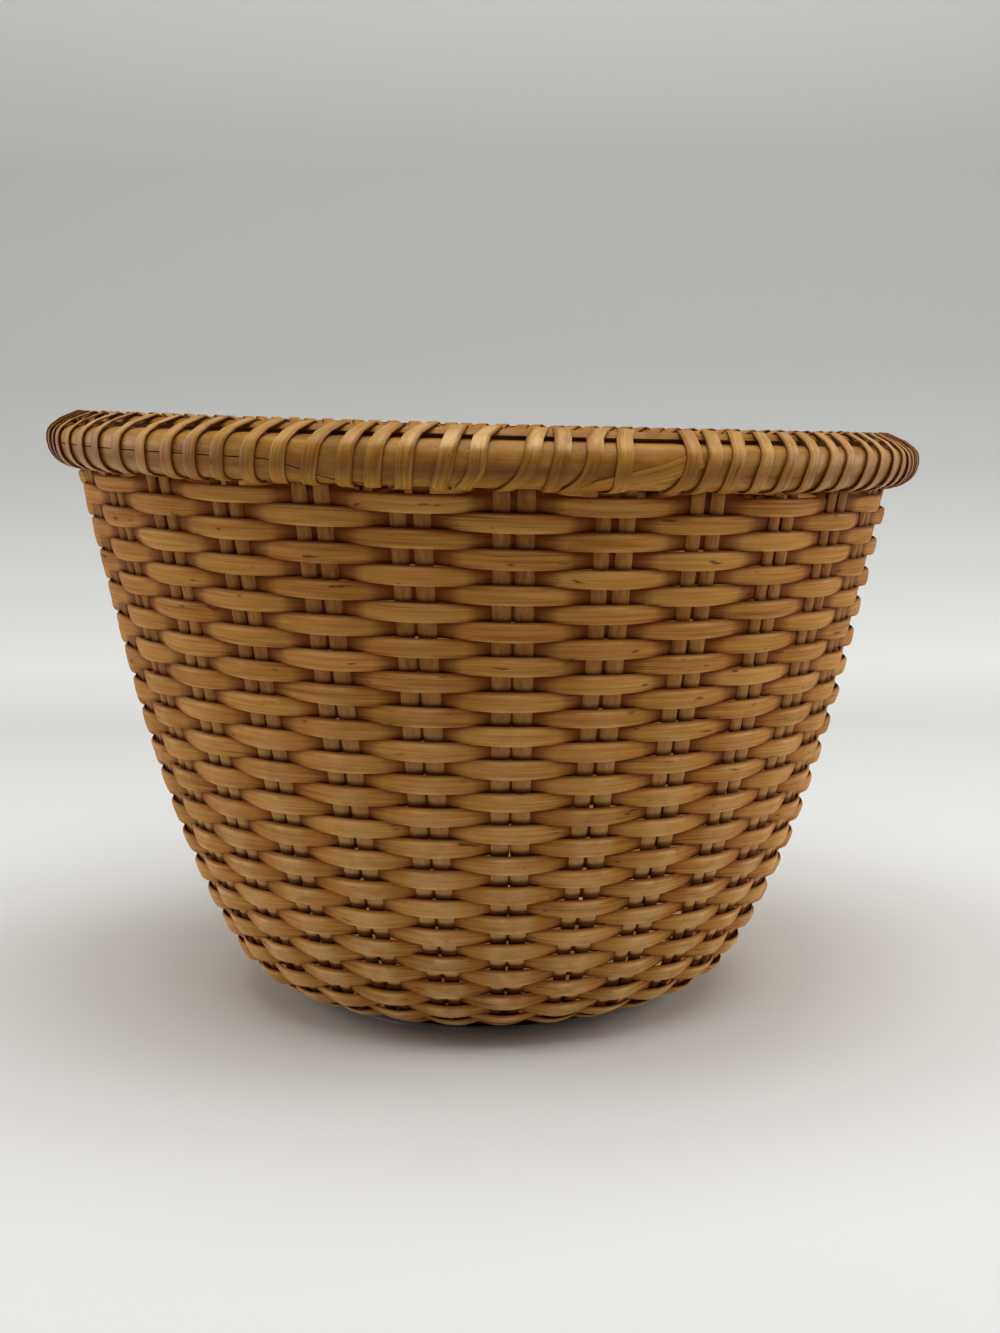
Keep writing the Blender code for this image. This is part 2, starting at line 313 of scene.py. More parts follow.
# painted shade: each window's foot is dark, where the stave goes in behind the float below; a
# window is 1 long in the "window" attribute and its middle lies at a whole number
window = put(tree, "Attribute", {}, attribute_name="window").outputs["Fac"]
window = sum_of(tree, (window, 1.0), (low_down, WINDOW_SHIFT))
window = put(tree, "Math", {0: window}, operation="FRACT").outputs[0]
darker = put(tree, "MapRange", {"Value": low_down, "To Min": HIGH_WINDOW_SHADE, "To Max": LOW_WINDOW_SHADE})
foot = times(tree, shades(tree, window, WINDOW_STOPS), darker.outputs["Result"])
tree.links.new(blended(tree, foot, colour, WINDOW_SHADE), shader.inputs["Base Color"])
raised(tree, shader, sum_of(tree, (grain, 0.6), (fibre, 0.4)), GRAIN_DEPTH)

# distances up the wall at which a strip's section is set: the groove, the sharp bend, then the wall
stations = [TOUCH - GROOVE_DEPTH, UNDER_RUN]
stations += [UNDER_RUN + FOOT_RADIUS * FOOT_TURN * (i + 1) / FOOT_STEPS for i in range(FOOT_STEPS)]
bend_end = stations[-1]
upper = RIM_FOOT + STAVE_END - bend_end
stations += [bend_end + upper * (i + 1) / WALL_STEPS for i in range(WALL_STEPS)]


def strip_station(distance, side):
    """Middle of a strip at bearing 0, with its width and thickness and how steep it is."""
    radius, height, rise = wall_at(distance)
    split = split_width(distance)
    width = (stave_width(distance) - split) / 2
    middle = Vector((side * (split + width) / 2, -radius, height + GROOVE_HEIGHT))
    return middle, width, strip_thickness(distance), rise


def bend_strip(name, side):
    """A rounded strip, drawn out step by step over the mould from its end in the groove."""
    middle, width, thick, rise = strip_station(stations[0], side)
    bpy.ops.mesh.primitive_circle_add(vertices=12, radius=0.5, fill_type="NGON", location=middle,
                                      rotation=(pi / 2, 0, 0))
    strip = start_piece(name)
    bpy.ops.transform.resize(value=(width, 1, thick), center_override=middle)
    for distance in stations[1:]:
        ahead, next_width, next_thick, next_rise = strip_station(distance, side)
        growth = (next_width / width, 1, next_thick / thick)
        bpy.ops.mesh.extrude_region_move(TRANSFORM_OT_translate={"value": ahead - middle})
        # the section is laid flat, gets its size there, and is then turned to the new slope
        bpy.ops.transform.rotate(value=-rise, orient_axis="X", center_override=ahead)
        bpy.ops.transform.resize(value=growth, center_override=ahead)
        bpy.ops.transform.rotate(value=next_rise, orient_axis="X", center_override=ahead)
        middle, width, thick, rise = ahead, next_width, next_thick, next_rise
    bpy.ops.mesh.select_all(action="SELECT")
    bpy.ops.mesh.normals_make_consistent(inside=False)
    end_piece(strip, stave_cane, 50)
    return strip


def rows_down_to(corner):
    """How many rows below the top one a corner of a stave is, by its nearest station."""
    level, reach = corner.z - GROOVE_HEIGHT, hypot(*corner.xy)
    nearest = min(stations, key=lambda d: abs(wall_at(d)[1] - level) + abs(wall_at(d)[0] - reach))
    return (WALL_LENGTH - nearest) / ROW_PITCH


left_strip = bend_strip("left_strip", -1)
right_strip = bend_strip("right_strip", 1)
shave = random.Random(5)
for number in range(STAVE_COUNT):
    halves = []
    for pattern, side in ((left_strip, -1), (right_strip, 1)):
        strip = pattern.copy()
        strip.data = pattern.data.copy()
        bpy.context.scene.collection.objects.link(strip)
        strip.select_set(True)
        bpy.context.view_layer.objects.active = strip
        bpy.ops.object.mode_set(mode="EDIT")
        bpy.ops.mesh.select_all(action="SELECT")
        # no two strips are split alike: each is slimmer on its inner side and lies a little off
        slimness = (shave.uniform(0.90, 1.04), 1, 1)
        slip = (shave.uniform(-0.0002, 0.0002), shave.uniform(-0.0001, 0.0001), 0)
        outer_edge = (side * STAVE_TOP_WIDTH / 2, 0, 0)
        bpy.ops.transform.resize(value=slimness, center_override=outer_edge)
        bpy.ops.transform.translate(value=slip)
        bpy.ops.object.mode_set(mode="OBJECT")
        halves.append(strip)
    for strip in halves:
        strip.select_set(True)
    bpy.ops.object.join()
    stave = bpy.context.object
    stave.name = f"stave_pair_{number + 1:02d}"
    stave.data.name = stave.name
    stave.rotation_euler.z = FRONT_STAVE + number * STEP
    bpy.ops.object.transform_apply(location=True, rotation=True, scale=True)
    bpy.ops.object.select_all(action="DESELECT")
    windows = []
    for corner in stave.data.vertices:
        windows.append((rows_down_to(corner.co) - number / STAVE_COUNT + number) / 2)
        corner.co = off_level(corner.co)
    stave.data.attributes.new("window", "FLOAT", "POINT").data.foreach_set("value", windows)
    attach(stave, "root")
    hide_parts(f"stave_{number + 1:02d}")
for pattern in (left_strip, right_strip):
    bpy.data.objects.remove(pattern)

# Weaving. Eight lengths of flat cane, slightly rounded on the outside, carried over one stave and
# behind the next in a single spiral from the rim to the base, each new one butted behind a stave.
# An interlaced spiral can't be drawn out by hand tools, so it is laid point by point.
CANE_THICKNESS = 0.0012
CANE_TIP = 0.0010
CANE_COUNT = 8
OVER_WIDTH = 0.0049
UNDER_WIDTH = 0.0041
FLOAT_FULLNESS = 0.9
TUCK_DROP = 0.00015
CLEARANCE = 0.0001
# what the inner face's edges stand out, and how much more that is low down and inside a stave
INNER_SPREAD, LOW_SPREAD, TUCKED_SPREAD = 0.0003, 1.5, 5
LOW_LIP = 0.0005
POINTS_PER_STAVE = 8
NEARBY = 0.02  # in staves, to find which way the cane runs
CANE_SECTION = (
    (-0.5, -0.22), (-0.5, 0.20), (-0.45, 0.38), (-0.27, 0.48), (0.0, 0.50), (0.27, 0.48),
    (0.45, 0.38), (0.5, 0.20), (0.5, -0.22), (0.42, -0.5), (-0.42, -0.5),
)
# painted shade and painted highlight on a corner, by how far it is from the cane's middle line
EDGE_SHADE = {0.0: 0.0, 0.27: 0.16, 0.42: 1.0, 0.45: 0.8, 0.5: 1.3}
EDGE_HIGHLIGHT = {0.45: 0.30}
OPEN_SHADE, HIDDEN_SHADE = 0.05, 2.2
SHADE_CURVE, LOW_SHADE_CURVE = 1.6, 0.8
# from how far out of sight a face gets painted shade all over, how much later low down, and how
# fast
DEEP_START, LOW_DEEP_START, DEEP_REACH, DEEP_SHADE = 0.48, 0.14, 0.36, 0.95
# painted light on the rows low down, and how fast it fades as a face goes out of sight
LOW_ROW_LIGHT, LIGHT_FADE = 0.48, 2.5
INNER_FACE = -0.3  # corners of the section below this are the inner face's
LOWNESS, LOWNESS_HEIGHT = 1.15, 0.11  # how low a row lies: that, less its height over the other
# the brown of the painted shade, and at most how much of it is laid on
SHADE_BROWN, SHADE_SHARE = (0.125, 0.026, 0.0005, 1.0), 0.93
CRACK_BROWN, CRACK_SHARE = (0.045, 0.018, 0.006, 1.0), 0.75
CANE_RELIEF = 0.00018
# the paler colour of the painted light and highlights on the canes
CANE_HIGHLIGHT = (0.70, 0.43, 0.18, 1.0)


def section_point(distance, along, out):
    """A point square to the wall, as a radius and a height over the base's groove."""
    radius, height, rise = wall_at(distance)
    return (radius + along * cos(rise) + out * sin(rise),
            height + along * sin(rise) - out * cos(rise))


def at_bearing(bearing, radius, height):
    """A bearing is measured from the front, positive to the right."""
    level = height + GROOVE_HEIGHT
    return off_level(Vector((radius * sin(bearing), -radius * cos(bearing), level)))


def wave_size(distance):
    """How far the cane's middle swings from the stave's middle, and the lift of a curved wall."""
    radius, height, rise = wall_at(distance)
    share = stave_width(distance) / 2 / (radius * sin(STEP))
    swing = (strip_thickness(distance) + CANE_THICKNESS) / 2 + CLEARANCE
    return swing, share * radius * (1 - cos(STEP)) * sin(rise)


def spread(a, o, tucked, low):
    """How far a corner of the inner face stands out past the cane's width. The upper edge always
    does, and both do most where the cane passes inside a stave."""
    if o > 0:
        return 0.0
    if a < 0:
        return -INNER_SPREAD * min(1.0, 2 * tucked) * (1 + LOW_SPREAD * low)
    inside = INNER_SPREAD * (1 + TUCKED_SPREAD * max(0.0, 2 * tucked - 1))
    return inside + LOW_LIP * low * (1 - tucked) ** 2


def lay_strip(name, rings, around, along, finish, smooth, shading=None):
    """A closed strip through a row of like sections, with its grain drawn along it."""
    count = len(rings[0])
    points = [point for ring in rings for point in ring]
    faces = []
    grain = []
    for i in range(len(rings) - 1):
        for j in range(count):
            k = (j + 1) % count
            faces.append((i * count + j, i * count + k, (i + 1) * count + k, (i + 1) * count + j))
            near, far = around[j], around[j + 1]
            grain += [(along[i], near), (along[i], far), (along[i + 1], far), (along[i + 1], near)]
    last = (len(rings) - 1) * count
    faces.append(tuple(range(count - 1, -1, -1)))
    grain += [(along[0], around[j]) for j in range(count - 1, -1, -1)]
    faces.append(tuple(range(last, last + count)))
    grain += [(along[-1], around[j]) for j in range(count)]
    mesh = bpy.data.meshes.new(name)
    mesh.from_pydata(points, [], faces)
    layer = mesh.uv_layers.new(name="grain")
    layer.data.foreach_set("uv", [value for pair in grain for value in pair])
    if shading is not None:
        marks = mesh.attributes.new("shading", "FLOAT", "POINT")
        marks.data.foreach_set("value", [value for ring in shading for value in ring])
    strip = bpy.data.objects.new(name, mesh)
    bpy.context.scene.collection.objects.link(strip)
    strip.select_set(True)
    bpy.context.view_layer.objects.active = strip
    bpy.ops.object.mode_set(mode="EDIT")
    bpy.ops.mesh.select_all(action="SELECT")
    bpy.ops.mesh.normals_make_consistent(inside=False)
    end_piece(strip, finish, smooth)
    return strip


def girth(section, width, thick):
    """Distance round a section at each of its corners, for the grain."""
    round_it = [0.0]
    for one, two in zip(section, section[1:] + section[:1]):
        round_it.append(round_it[-1] + hypot((two[0] - one[0]) * width, (two[1] - one[1]) * thick))
    return round_it


def paint_light_and_shade(tree, shader, colour, lit):
    """Painted shade where the mark is above nought, and painted light, paler and mottled, below it.
    """
    mark = put(tree, "Attribute", {}, attribute_name="shading").outputs["Fac"]
    # noise that mottles the painted light
    mottle = streaks(tree, put(tree, "TexCoord", {}).outputs["UV"], (170, 330, 1), 3, 1.7)
    mottle = sum_of(tree, (part_way(tree, mottle, 0.38, 0.62), 0.9), (1.0, 0.55))
    pale = put(tree, "Math", {0: part_way(tree, mark, 0.0, -1.0), 1: mottle},
               operation="MULTIPLY", use_clamp=True).outputs[0]
    colour = blended(tree, pale, colour, lit)
    shading = times(tree, part_way(tree, mark, 0.0, 1.0), SHADE_SHARE)
    tree.links.new(blended(tree, shading, colour, SHADE_BROWN), shader.inputs["Base Color"])


def cane_finish(name, dark, middle, light, roughness, specular, lumps):
    """Grain, fibres and slow changes of tone along the cane, dark flecks and open pores."""
    finish, tree, shader = finish_with(name, roughness, specular)
    place = put(tree, "TexCoord", {}).outputs["UV"]
    grain = streaks(tree, place, (28, 1300, 1), 3)
    fibre = streaks(tree, place, (80, 5200, 1), 2)
    patch = streaks(tree, place, (11, 70, 1), 2)
    tone = sum_of(tree, (grain, 0.42), (patch, 0.38), (fibre, 0.20))
    colour = shades(tree, tone, ((0.38, dark), (0.50, middle), (0.62, light)))
    crack = part_way(tree, streaks(tree, place, (24, 2600, 1), 1, 7.3), 0.70, 0.78)
    fleck = part_way(tree, streaks(tree, place, (120, 560, 1), 2, 3.1), 0.675, 0.72)
    marks = put(tree, "Math", {0: crack, 1: fleck}, operation="MAXIMUM").outputs[0]
    marks = times(tree, marks, CRACK_SHARE)
    bumps = streaks(tree, place, (330, 420, 1), 2, 5.9)
    height = sum_of(tree, (grain, 0.5), (fibre, 0.4), (marks, -0.5), (bumps, lumps))
    raised(tree, shader, height, CANE_RELIEF)
    # painted light and shade over the cane's colour, by each corner's mark
    paint_light_and_shade(tree, shader, blended(tree, marks, colour, CRACK_BROWN), CANE_HIGHLIGHT)
    return finish


weaving_cane = cane_finish(
    "weaving_cane", dark=(0.27, 0.093, 0.015), middle=(0.42, 0.180, 0.036),
    light=(0.53, 0.262, 0.066), roughness=0.62, specular=0.06, lumps=0.35)

# the weaver's hand: four small faults for each stave that the spiral passes, with some to spare
hand = random.Random(11)
first = -STAVE_COUNT
count = 40 * STAVE_COUNT
slips = [hand.gauss(0, 0.00011) for i in range(count)]
swings = [hand.uniform(0.93, 1.07) for i in range(count)]
widths = [hand.uniform(0.95, 1.04) for i in range(count)]
tilts = [hand.gauss(0, 0.035) for i in range(count)]


def eased(values, number):
    """A value that changes smoothly from one stave to the next."""
    whole = floor(number)
    share = (1 - cos(pi * (number - whole))) / 2
    index = whole - first
    return values[index] * (1 - share) + values[index + 1] * share


def cane_edges(number):
    """Where the cane's upper and lower edges lie up the wall, tapered at the rim and the base."""
    outside = (1 - cos(pi * number)) / 2
    width = UNDER_WIDTH + (OVER_WIDTH - UNDER_WIDTH) * outside ** FLOAT_FULLNESS
    width *= eased(widths, number)
    middle = WALL_LENGTH - ROW_PITCH * number / STAVE_COUNT + eased(slips, number)
    middle -= TUCK_DROP * cos(pi * number)
    top = min(middle + width / 2, WALL_LENGTH + CANE_WIDTH / 2)
    foot = max(middle - width / 2, TOUCH + BASE_RADIUS * (1 - cos(STEP / 2)))
    return top, foot


def cane_line(number):
    """Middle of the cane, up direction of the wall, width and how far it is tucked inside."""
    top, foot = cane_edges(number)
    distance = (top + foot) / 2
    swing, lift = wave_size(distance)
    offset = lift - swing * eased(swings, number) * cos(pi * number)
    bearing = FRONT_STAVE + number * STEP
    middle = at_bearing(bearing, *section_point(distance, 0, offset))
    up = at_bearing(bearing, *section_point(distance, 1, offset)) - middle
    return middle, up, top - foot, (1 + cos(pi * number)) / 2


def hidden_at(o, tucked):
    """How far out of sight a corner is: the outer face where the cane is tucked in, the inner face
    where it floats, and the edges in both."""
    if o > 0:
        return tucked
    return 1 - tucked if o < INNER_FACE else max(tucked, 1 - tucked)


def painted_shading(edge, hidden, low):
    """Painted shade on one corner of the cane, darkest at the edges and where a face goes
    out of sight. The edges of a float get a painted highlight and the rows low down painted light."""
    deep = min(1.0, max(0.0, (hidden - DEEP_START - LOW_DEEP_START * low) / DEEP_REACH))
    curve = SHADE_CURVE + LOW_SHADE_CURVE * low
    dark = EDGE_SHADE[edge] * (OPEN_SHADE + HIDDEN_SHADE * hidden ** curve)
    dark += DEEP_SHADE * deep * deep * (3 - 2 * deep)
    pale = (LOW_ROW_LIGHT * low + EDGE_HIGHLIGHT.get(edge, 0.0)) * max(0.0, 1 - LIGHT_FADE * hidden)
    return min(1.0, dark) - pale


# the spiral runs for as long as the cane is wider than its tip, and its joins are behind a stave
numbers = [n for n in range(first + 1, count + first - 1)
           if cane_edges(n)[0] - cane_edges(n)[1] >= CANE_TIP]
start, end = numbers[0], numbers[-1]
travel = [0.0]
for number in range(start, end):
    travel.append(travel[-1] + (cane_line(number + 1)[0] - cane_line(number)[0]).length)
joins = [start]
for number, used in zip(range(start, end), travel):
    used_up = used >= travel[-1] * len(joins) / CANE_COUNT
    if len(joins) < CANE_COUNT and used_up and number % 2 == 0:
        joins.append(number)
joins.append(end)
butt = TOUCH / 2 / BASE_RADIUS / STEP / 2  # in staves, what each length stops short of its join
for index, (one, two) in enumerate(zip(joins, joins[1:])):
    rings, along, shading = [], [], []
    run = 5.0 * index  # far enough apart for no two lengths to share their grain
    last = None
    for i in range((two - one) * POINTS_PER_STAVE + 1):
        number = one + i / POINTS_PER_STAVE
        number = min(max(number, one + butt), two - butt)
        middle, up, width, tucked = cane_line(number)
        ahead = (cane_line(number + NEARBY)[0] - cane_line(number - NEARBY)[0]).normalized()
        out = ahead.cross(up).normalized()
        lean = eased(tilts, number)
        side = up * cos(lean) + out * sin(lean)
        out = out * cos(lean) - up * sin(lean)
        low = min(1.0, max(0.0, LOWNESS - middle.z / LOWNESS_HEIGHT))
        rings.append([middle + side * (a * width + spread(a, o, tucked, low))
                      + out * (o * CANE_THICKNESS) for a, o in CANE_SECTION])
        if last is not None:
            run += (middle - last).length
        last = middle
        along.append(run)
        shading.append([painted_shading(abs(a), hidden_at(o, tucked), low) for a, o in CANE_SECTION])
    around = girth(CANE_SECTION, CANE_WIDTH, CANE_THICKNESS)
    cane = lay_strip(f"cane_{index + 1}", rings, around, along, weaving_cane, 45, shading)
    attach(cane, "root")
    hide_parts(f"weaver_{index + 1}")

# Rim hoops. Two lengths of half-round wood bent round the mouth, one outside the staves and one
# inside, their tapered ends lapped and held by the lashing. Only the outer one's seam shows.
HOOP_HEIGHT = 0.0118
OUTER_HOOP_DEPTH = 0.0065
OUTER_HOOP_LIFT = 0.15
UPPER_FULLNESS, LOWER_FULLNESS = 2.7, 2.1
INNER_HOOP_DEPTH = 0.0050
STAVE_THICKNESS = 0.0012
OUTER_SEAT = STAVE_THICKNESS / 2 + TOUCH + STAVE_TOP_WIDTH / 2 * tan(STEP / 4)
INNER_SEAT = -STAVE_THICKNESS / 2 - TOUCH
INNER_RISE = 0.0019
SEAM = 0.00008
OUTER_LAP = (radians(-80), radians(-14))
INNER_LAP = (radians(170), radians(215))
LAP_CLIMB = 0.18
LIP = 0.0014
HOOP_STEPS = 240
GRAIN_RADIUS = 0.12
# painted shade on the rim's side, how much more in front, within what reach, and painted light on
# its edges
SIDE_SHADE, FRONT_SHADE, FRONT_REACH, EDGE_LIGHT = 0.60, 0.24, radians(40), 0.10
# the middle of the band of painted shade and half its width, as shares of the hoop's height
BAND_MIDDLE, BAND_HALF = 0.47, 0.30
# painted shade in the slit between the hoops
SLIT_SHADE = 0.9
HOOP_TONES = ((0.36, (0.20, 0.075, 0.006)), (0.50, (0.33, 0.138, 0.018)),
              (0.64, (0.47, 0.225, 0.042)))
# the paler colour of the painted light and highlights on the rim
HOOP_HIGHLIGHT = (0.66, 0.40, 0.14, 1.0)
HOOP_RELIEF = 0.00022


def rim_point(bearing, out, up):
    """A point of the rim's section, square to the wall and up it from the hoops' lower edge."""
    return at_bearing(bearing, *section_point(RIM_FOOT, up, out))


def outer_face(level):
    """A point of the outer hoop's round face, which is fuller above its middle than below."""
    off_middle = 2 * level / HOOP_HEIGHT - 1
    fullness = UPPER_FULLNESS if off_middle > 0 else LOWER_FULLNESS
    bulge = OUTER_HOOP_DEPTH * max(0.0, 1 - abs(off_middle) ** fullness) ** (1 / fullness)
    return OUTER_SEAT + bulge, level + OUTER_HOOP_LIFT * bulge


def outer_section(low, high):
    """Half-round, flat against the staves."""
    points = [(OUTER_SEAT, low), (OUTER_SEAT, high)]
    for share in (0.985, 0.93, 0.85, 0.74, 0.62, 0.5, 0.38, 0.26, 0.15, 0.07, 0.015):
        points.append(outer_face(low + (high - low) * share))
    return points


def inner_section(low, high):
    """Half-round inwards, with a rounded lip along the top that stands over the staves' ends."""
    points = []
    for share in (0.015, 0.07, 0.2, 0.38, 0.62, 0.8, 0.93, 0.985):
        level = low + (high - low) * share
        bulge = INNER_HOOP_DEPTH * sqrt(1 - (2 * level / HOOP_HEIGHT - 1) ** 2)
        points.append((INNER_SEAT - bulge, level + INNER_RISE * share))
    top = high + INNER_RISE
    points += [(INNER_SEAT - 0.0012, top), (INNER_SEAT + 0.0001, top - 0.0004),
               (INNER_SEAT + 0.0009, top - 0.0011), (INNER_SEAT + 0.0008, top - LIP),
               (INNER_SEAT - 0.0006, top - LIP - 0.0002), (INNER_SEAT - 0.0002, high - 0.004),
               (INNER_SEAT, low)]
    return points


def lap_level(share):
    """The seam climbs steeply at its ends and lies nearly level between."""
    first_climb = (1 - cos(pi * min(1.0, share / LAP_CLIMB))) / 2
    last_climb = (1 - cos(pi * max(0.0, (share - 1 + LAP_CLIMB) / LAP_CLIMB))) / 2
    return 0.05 + 0.46 * first_climb + 0.10 * share + 0.34 * last_climb


def frontness(bearing, reach):
    """1 at the middle of the front, falling to 0 at the given reach to either side."""
    return max(0.0, 1 - abs((bearing + pi) % (2 * pi) - pi) / reach)


def side_shading(out, up, bearing):
    """The hoops get painted shade along their middle, most of all in front, and in the slit."""
    if out < OUTER_SEAT + 0.0002:
        below_lip = up < HOOP_HEIGHT + INNER_RISE - LIP - 0.0001
        return SLIT_SHADE if out > INNER_SEAT - 0.0005 and below_lip else 0.0
    shade = SIDE_SHADE + FRONT_SHADE * frontness(bearing, FRONT_REACH)
    return shade * max(0.0, 1 - abs(up / HOOP_HEIGHT - BAND_MIDDLE) / BAND_HALF) - EDGE_LIGHT


def bend_hoop(name, section, lap, finish):
    """A hoop once round the rim and on to the end of its lap, where the seam parts its two ends."""
    start, end = lap
    lap_rings = round((end - start) / (2 * pi) * HOOP_STEPS)
    rings, along, shading = [], [], []
    for number in range(HOOP_STEPS + lap_rings + 1):
        bearing = start + 2 * pi * number / HOOP_STEPS
        low, high = 0.0, HOOP_HEIGHT
        if number <= lap_rings:
            low = HOOP_HEIGHT * lap_level(1 - number / lap_rings) + SEAM / 2
        if number >= HOOP_STEPS:
            high = HOOP_HEIGHT * lap_level(1 - (number - HOOP_STEPS) / lap_rings) - SEAM / 2
        points = section(low, high)
        rings.append([rim_point(bearing, out, up) for out, up in points])
        shading.append([side_shading(out, up, bearing) for out, up in points])
        along.append(bearing * GRAIN_RADIUS)
    around = girth(section(0.0, HOOP_HEIGHT), 1.0, 1.0)
    hoop = lay_strip(name, rings, around, along, finish, 40, shading)
    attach(hoop, "root")
    return hoop


hoop_wood, tree, shader = finish_with("hoop_wood", 0.34, 0.14)
place = put(tree, "TexCoord", {}).outputs["UV"]
grain = streaks(tree, place, (12, 520, 1), 4)
pores = streaks(tree, place, (60, 3000, 1), 2)
blotch = streaks(tree, place, (110, 190, 1), 3, 4.4)
dents = streaks(tree, place, (240, 300, 1), 2, 9.2)
tone = sum_of(tree, (grain, 0.30), (blotch, 0.55), (pores, 0.15))
# painted light and shade on the hoops, by each corner's mark
paint_light_and_shade(tree, shader, shades(tree, tone, HOOP_TONES), HOOP_HIGHLIGHT)
raised(tree, shader, sum_of(tree, (grain, 0.25), (pores, 0.25), (dents, 1.2)), HOOP_RELIEF)

outer_hoop = bend_hoop("outer_hoop", outer_section, OUTER_LAP, hoop_wood)
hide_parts("rim_hoop_outer")
inner_hoop = bend_hoop("inner_hoop", inner_section, INNER_LAP, hoop_wood)
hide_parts("rim_hoop_inner")

# Rim lashing. One long flat cane, glossy skin outwards, wound over both hoops and in between the
# staves under them. It starts and ends at the right of the front, where its tail slants down.
LASHING_WIDTH = 0.0042
LASHING_THICKNESS = 0.0005
LASHING_TWIST, LASHING_WAVER = 0.00018, 0.00006
LASHING_SLACK = 0.00025
LASHING_GAP = 0.00005
# width where the cane passes between two staves, the share of a turn at each end over which it is
# squeezed to that, how far off the middle of the gap it may go in, and the step after the last turn
PASS_WIDTH, SQUEEZE, PASS_PLAY = 0.0030, 0.12, 0.75
LAST_STEP = radians(3.0)
# bearing of each turn at the outer hoop's middle, its lean at the foot and its lean at the top, in
# degrees: the turns in front up to the tail, and the first turns to the right of it
FRONT_TURNS = (
    (-66.1, -1.1, 0.8), (-61.5, -1.0, 0.9), (-57.0, -1.2, 1.0), (-52.6, -1.0, 0.8),
    (-47.9, -1.2, 1.1), (-43.1, -1.3, 0.9), (-38.6, -1.0, 1.1), (-34.9, -1.1, 1.0),
    (-31.0, -1.0, 0.9), (-26.9, -0.8, 1.1), (-23.1, -0.8, 1.0), (-19.2, -0.9, 1.1),
    (-15.2, -0.6, 0.9), (-12.0, -0.6, 0.9), (-8.6, -0.5, 0.8), (-4.3, -0.7, 0.9),
    (-0.9, -1.4, 0.7), (4.5, -2.0, 1.1), (7.9, -0.5, 0.8), (11.4, -2.1, 0.9), (15.1, 0.0, 0.6),
)
FIRST_TURNS = (
    (22.9, -1.0, 0.9), (25.5, -0.4, 1.2), (28.6, 0.3, 1.5), (32.5, 0.5, 1.6), (36.2, 0.4, 1.9),
    (40.0, 0.6, 1.7), (43.5, 0.4, 1.9), (47.0, 0.7, 1.8), (51.4, 0.5, 2.0), (55.1, 0.6, 1.8),
    (59.1, 0.6, 1.9), (63.0, 0.6, 1.8),
)
REST_TURNS = 73
# which way the cane faces, in degrees over level, at each straight piece of a turn round the hoops
BINDING_FACES = (-105, -92, -79, -66, -53, -40, -27, -14, 0, 14, 27, 40, 53, 66, 79, 92, 110, 130,
                 155, 180, 205, 235)
FACING_START, FACING_SPAN = -98, 318
# corners of a turn: under the hoops, foot, middle and top of the outer hoop, crest, inside foot
STOP_CORNERS = (0, 3, 7, 13, 16, 20)
LASHING_SECTION = ((-0.5, -0.4), (-0.5, 0.22), (-0.46, 0.42), (-0.2, 0.5), (0.2, 0.5),
                   (0.46, 0.42), (0.5, 0.22), (0.5, -0.4), (0.0, -0.5))
# painted shade on the corners of a turn's section, most on the edge that stands off the hoop
LASHING_EDGE_SHADE = (0.5, 0.1, 0.0, 0.0, 0.0, 0.3, 0.9, 1.0, 1.0)
# how bright the painted highlight on the top of a turn is, how much more in front, and within what
# reach
TOP_HIGHLIGHT, FRONT_HIGHLIGHT, FRONT_HIGHLIGHT_REACH = 0.42, 0.58, radians(14)
# facing, in degrees, from which a turn gets painted highlight; middle and reach of that and of its
# painted shade
HIGHLIGHT_START, HIGHLIGHT_MIDDLE, HIGHLIGHT_REACH = 20, 62, 42
SHADE_MIDDLE, SHADE_REACH = -8, 38


def turn_light_and_shade(facing, over):
    """The side of the rim gets a band of painted shade, browner than its top and its lower edge,
    which get painted light. The painted highlight is brightest at the middle of the front."""
    if facing > HIGHLIGHT_START:
        highlight = TOP_HIGHLIGHT + FRONT_HIGHLIGHT * frontness(over, FRONT_HIGHLIGHT_REACH)
        return -highlight * max(0.0, 1 - abs(facing - HIGHLIGHT_MIDDLE) / HIGHLIGHT_REACH)
    shade = SIDE_SHADE + FRONT_SHADE * frontness(over, FRONT_REACH)
    return shade * max(0.0, 1 - abs(facing - SHADE_MIDDLE) / SHADE_REACH) - EDGE_LIGHT


def binding_line(gap):
    """Corners of the line that a turn takes round both hoops, a gap off them, with their facing."""
    points = outer_section(0.0, HOOP_HEIGHT) + inner_section(0.0, HOOP_HEIGHT)
    faces = []
    for degrees in BINDING_FACES:
        out, up = cos(radians(degrees)), sin(radians(degrees))
        faces.append((out, up, gap + max(x * out + y * up for x, y in points)))
    corners = []
    for (a, b, c), (d, e, f), one, two in zip(faces, faces[1:], BINDING_FACES, BINDING_FACES[1:]):
        turn = a * e - b * d
        corners.append(((c * e - b * f) / turn, (a * f - c * d) / turn, (one + two) / 2))
    return corners


lashing_cane = cane_finish(
    "lashing_cane", dark=(0.24, 0.088, 0.006), middle=(0.37, 0.158, 0.019),
    light=(0.53, 0.262, 0.048), roughness=0.32, specular=0.14, lumps=1.0)

wind = random.Random(23)
gap_start, gap_end = FIRST_TURNS[-1][0], 360 + FRONT_TURNS[0][0]
rest = [(gap_start + (gap_end - gap_start) * (i + 1 + wind.uniform(-0.22, 0.22)) / (REST_TURNS + 1),
         wind.gauss(-0.3, 0.5), wind.gauss(0.2, 0.6)) for i in range(REST_TURNS)]
last_turns = [(360 + middle, foot, top) for middle, foot, top in FRONT_TURNS]
turns = [(radians(middle), radians(foot), radians(top))
         for middle, foot, top in [*FIRST_TURNS, *rest, *last_turns]]
line = binding_line(LASHING_THICKNESS / 2 + LASHING_GAP)
walk = [0.0]
for one, two in zip(line, line[1:]):
    walk.append(walk[-1] + hypot(two[0] - one[0], two[1] - one[1]))


